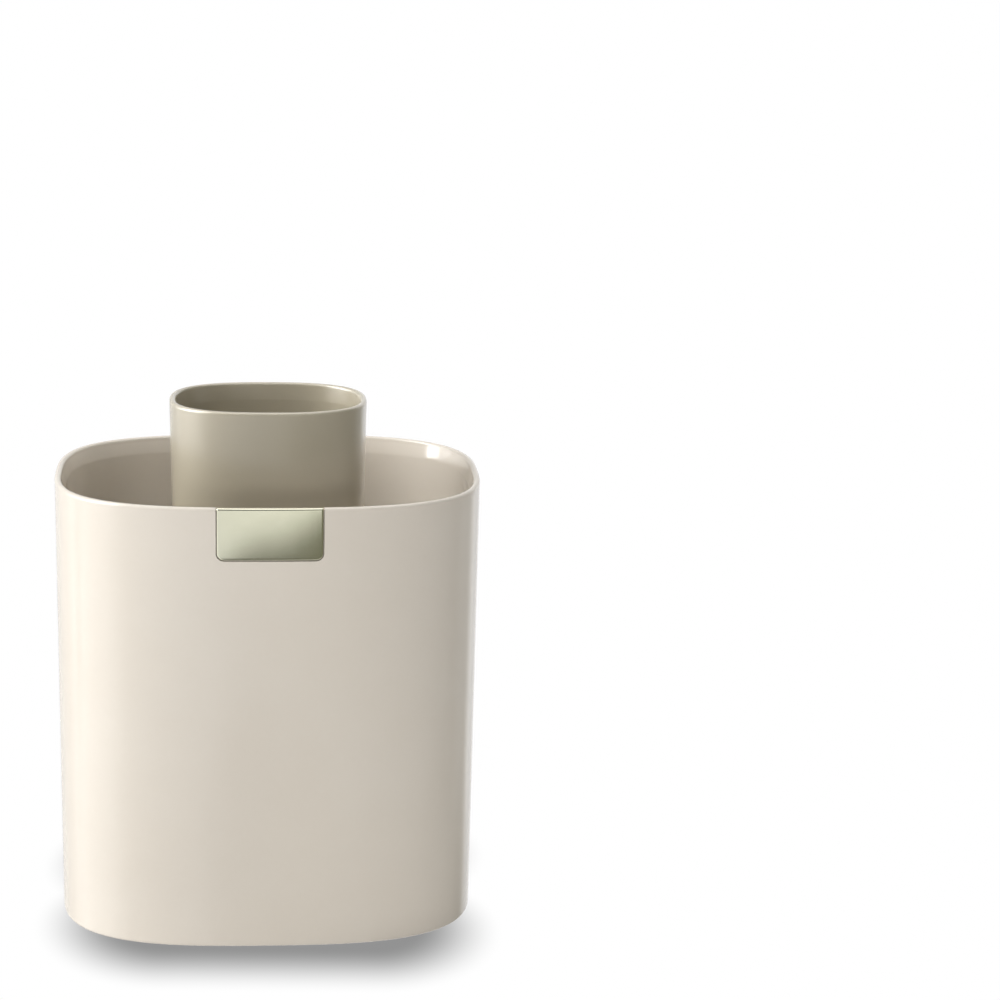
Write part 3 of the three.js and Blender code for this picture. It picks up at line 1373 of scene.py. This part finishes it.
@dataclass
class Studio:
    """The floor, surroundings, lamps and camera round the pot."""

    floor_size: float = 14.0
    floor_colour: Colour = (0.8, 0.8, 0.8, 1.0)
    # Contact shadow painted on the floor for the camera: its darkest brightness, the place and turn of its
    # middle lines, their half length, where it starts to fade, its reach and its squeeze across.
    shadow_light: float = 0.29
    shadow_middle: float = 27.5 * MM
    shadow_turn: float = 0.064
    shadow_half: float = 29 * MM
    shadow_start: float = 17 * MM
    shadow_reach: float = 50 * MM
    shadow_squeeze: float = 0.77
    fill: float = 0.1
    ground_lean: float = 115.0
    ground_middle: float = -0.268
    ground_span: float = 0.08
    camera_place: Point = (-11.46 * MM, -863.83 * MM, 333.22 * MM)
    pitch: float = math.radians(13.909)
    yaw: float = math.radians(5.157)
    roll: float = math.radians(1.223)
    focal_pixels: float = 3109.2
    image_pixels: float = 1000.0
    sensor: float = 36.0
    nearest: float = 0.05
    furthest: float = 50.0

    # Name, azimuth, elevation, distance, width, height and radiance.
    lamps: tuple[Softbox, ...] = (
        Softbox("key_left", -90.0, 25.0, 1.4, 1.0, 0.5, 12.7),
        Softbox("high_left", -60.0, 50.0, 1.4, 1.0, 0.5, 5.8),
        Softbox("high_front", -12.0, 50.0, 1.4, 1.0, 0.5, 3.7),
        Softbox("low_front", 8.0, 4.0, 1.4, 1.2, 0.25, 5.5),
        Softbox("high_back", 145.0, 45.0, 1.4, 1.2, 0.8, 4.6),
    )

    # Left, right, low, high, level, side softness and end softness.
    panels: tuple[Panel, ...] = (
        Panel(-97.0, -79.0, 3.0, 60.0, 8.5, 2.5, 5.0),
        Panel(-120.0, -56.0, -5.0, 60.0, 4.5, 5.0, 5.0),
        Panel(-84.0, -56.0, 0.0, 60.0, 3.0, 5.0, 5.0),
        Panel(-120.0, -56.0, -40.0, -4.0, 1.2, 12.0, 5.0),
        Panel(-200.0, -112.0, -40.0, 60.0, 0.8),
        Panel(0.0, 140.0, -40.0, 20.0, 0.2, 8.0, warmth=0.25),
        Panel(108.0, 150.0, -20.0, 60.0, 0.4, 8.0, 1.2),
        Panel(136.0, 200.0, -40.0, 60.0, 1.0, 10.0),
        Panel(-200.0, 200.0, 60.0, 95.0, 2.5),
        Panel(-200.0, 200.0, -100.0, -40.0, 1.0),
    )
    ground: Panel = Panel(-100.0, 2.2, -40.0, -5.0, 0.97, 4.5, 5.0)

    def clear_of_painted_shadow(self, graph: Graph) -> Value:
        """How far a floor point lies from the middle lines of the contact shadow painted on the floor, under
        the front and back.

        Args:
            graph: The floor's graph.

        Returns:
            The distance in metres.
        """
        x, y, _ = graph.split(graph.value("ShaderNodeTexCoord", output="Object"))
        across = (abs(x) - self.shadow_half).math("MAXIMUM", 0.0) / self.shadow_squeeze
        along = abs(y) - x * self.shadow_turn - self.shadow_middle
        return (across * across + along * along).math("SQRT")

    def floor_material(self) -> bpy.types.Material:
        """Makes a pale floor that the camera sees as white, with a soft contact shadow painted round the
        pot's foot by distance, not cast by any lamp.

        Returns:
            A new material.
        """
        material = bpy.data.materials.new("studio_floor")
        material.use_nodes = True
        graph = Graph(material.node_tree)
        seen = graph.value("ShaderNodeLightPath", output="Is Camera Ray")
        # Painted shadow: the camera sees the floor darker near the pot's foot by distance alone, not by any
        # lamp.
        shade = ramp(self.clear_of_painted_shadow(graph), self.shadow_start, self.shadow_reach, self.shadow_light)
        floor = graph.value("ShaderNodeBsdfDiffuse", {}, {"Color": self.floor_colour})
        shown = graph.value("ShaderNodeEmission", {}, {"Color": shade})
        surface = graph.value("ShaderNodeMixShader", {}, {0: seen, 1: floor, 2: shown})
        graph.node("ShaderNodeOutputMaterial", {}, {"Surface": surface})
        return material

    def lay_floor(self) -> None:
        """Adds the floor. The gloss doesn't show it, and mirrors the surroundings down to the pot's foot."""
        half = self.floor_size / 2
        corners = [(-half, -half, 0.0), (half, -half, 0.0), (half, half, 0.0), (-half, half, 0.0)]
        mesh = bpy.data.meshes.new("studio_floor")
        mesh.from_pydata(corners, [], [(0, 1, 2, 3)])
        mesh.materials.append(self.floor_material())
        floor = link_mesh("studio_floor", mesh)
        floor.visible_glossy = False

    def mirrored(self, graph: Graph) -> tuple[Value, Value]:
        """Brightness of the surroundings in the gloss, where the ground's bright part ends at a leaning edge.

        Args:
            graph: The world's graph.

        Returns:
            The strength, and the share of blue in it.
        """
        x, y, z = graph.split(graph.value("ShaderNodeTexCoord", output="Generated"))
        azimuth = x.math("ARCTAN2", y * -1.0) * TO_DEGREES
        elevation = z.math("ARCSINE") * TO_DEGREES
        lean = (z - self.ground_middle).math("MAXIMUM", -self.ground_span).math("MINIMUM", self.ground_span)
        strength = blue = self.ground.glow(azimuth - lean * self.ground_lean, elevation)
        for panel in self.panels:
            glow = panel.glow(azimuth, elevation)
            strength = strength + glow
            blue = blue + glow * (1 - panel.warmth)
        return strength, blue / strength

    def light_world(self) -> None:
        """Lights the pot evenly, with a white surround for the camera and the bright fields for the gloss."""
        world = bpy.data.worlds.new("studio")
        bpy.context.scene.world = world
        world.use_nodes = True
        graph = Graph(world.node_tree)
        path = graph.node("ShaderNodeLightPath")
        rays = ("Is Camera Ray", "Is Glossy Ray", "Is Transmission Ray")
        seen, glossy, through = (Value(graph, path.outputs[name]) for name in rays)
        plain = seen.math("MAXIMUM", through)
        mirrored, blue = self.mirrored(graph)
        strength = plain + glossy * mirrored + (1.0 - plain - glossy) * self.fill
        colour = graph.join(1.0, 1.0, 1.0 - glossy * (1.0 - blue))
        surround = graph.value("ShaderNodeBackground", {}, {"Color": colour, "Strength": strength})
        graph.node("ShaderNodeOutputWorld", {}, {"Surface": surround})

    def set_camera(self) -> None:
        """Puts the camera where the photograph was taken from."""
        backwards = heading(-self.yaw, self.pitch)
        level = Vector((math.cos(self.yaw), -math.sin(self.yaw), 0.0))
        upright = backwards.cross(level)
        right = level * math.cos(self.roll) + upright * math.sin(self.roll)
        up = upright * math.cos(self.roll) - level * math.sin(self.roll)
        lens = bpy.data.cameras.new("camera")
        lens.sensor_width = self.sensor
        lens.lens = self.focal_pixels / self.image_pixels * self.sensor
        lens.clip_start = self.nearest
        lens.clip_end = self.furthest
        holder = bpy.data.objects.new("camera", lens)
        turn = Matrix((right, up, backwards)).transposed().to_4x4()
        holder.matrix_world = Matrix.Translation(self.camera_place) @ turn
        bpy.context.scene.collection.objects.link(holder)
        bpy.context.scene.camera = holder

    def build(self) -> None:
        """Sets the whole studio up."""
        low, high = CAD_BOX
        self.lay_floor()
        self.light_world()
        for lamp in self.lamps:
            lamp.hang((low + high) / 2)
        self.set_camera()
        bpy.context.scene.view_settings.view_transform = "Standard"


def dress_pad(material: bpy.types.Material) -> None:
    """Gives the adhesive pad behind the plate, whose CAD shape is right, its finish.

    Args:
        material: The pad's finish.
    """
    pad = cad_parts["badge_adhesive"]
    pad.data.materials.clear()
    pad.data.materials.append(material)


def main() -> None:
    """Builds the studio and every piece in order."""
    logging.basicConfig(level=logging.INFO, format="%(name)s: %(message)s")
    Studio().build()
    inner = InnerPot()
    plate = FoldedPlate()
    feet = BaseFeet()
    outer = OuterPot()
    outer.build(inner, plate, feet, POT_GLOSS.material())
    inner.build(INNER_SATIN.material())
    plate.build(outer.oval, PLATE_SATIN.material())
    feet.build(FOOT_RUBBER.material())
    dress_pad(ADHESIVE_FILM.material())


if __name__ == "__main__":
    main()
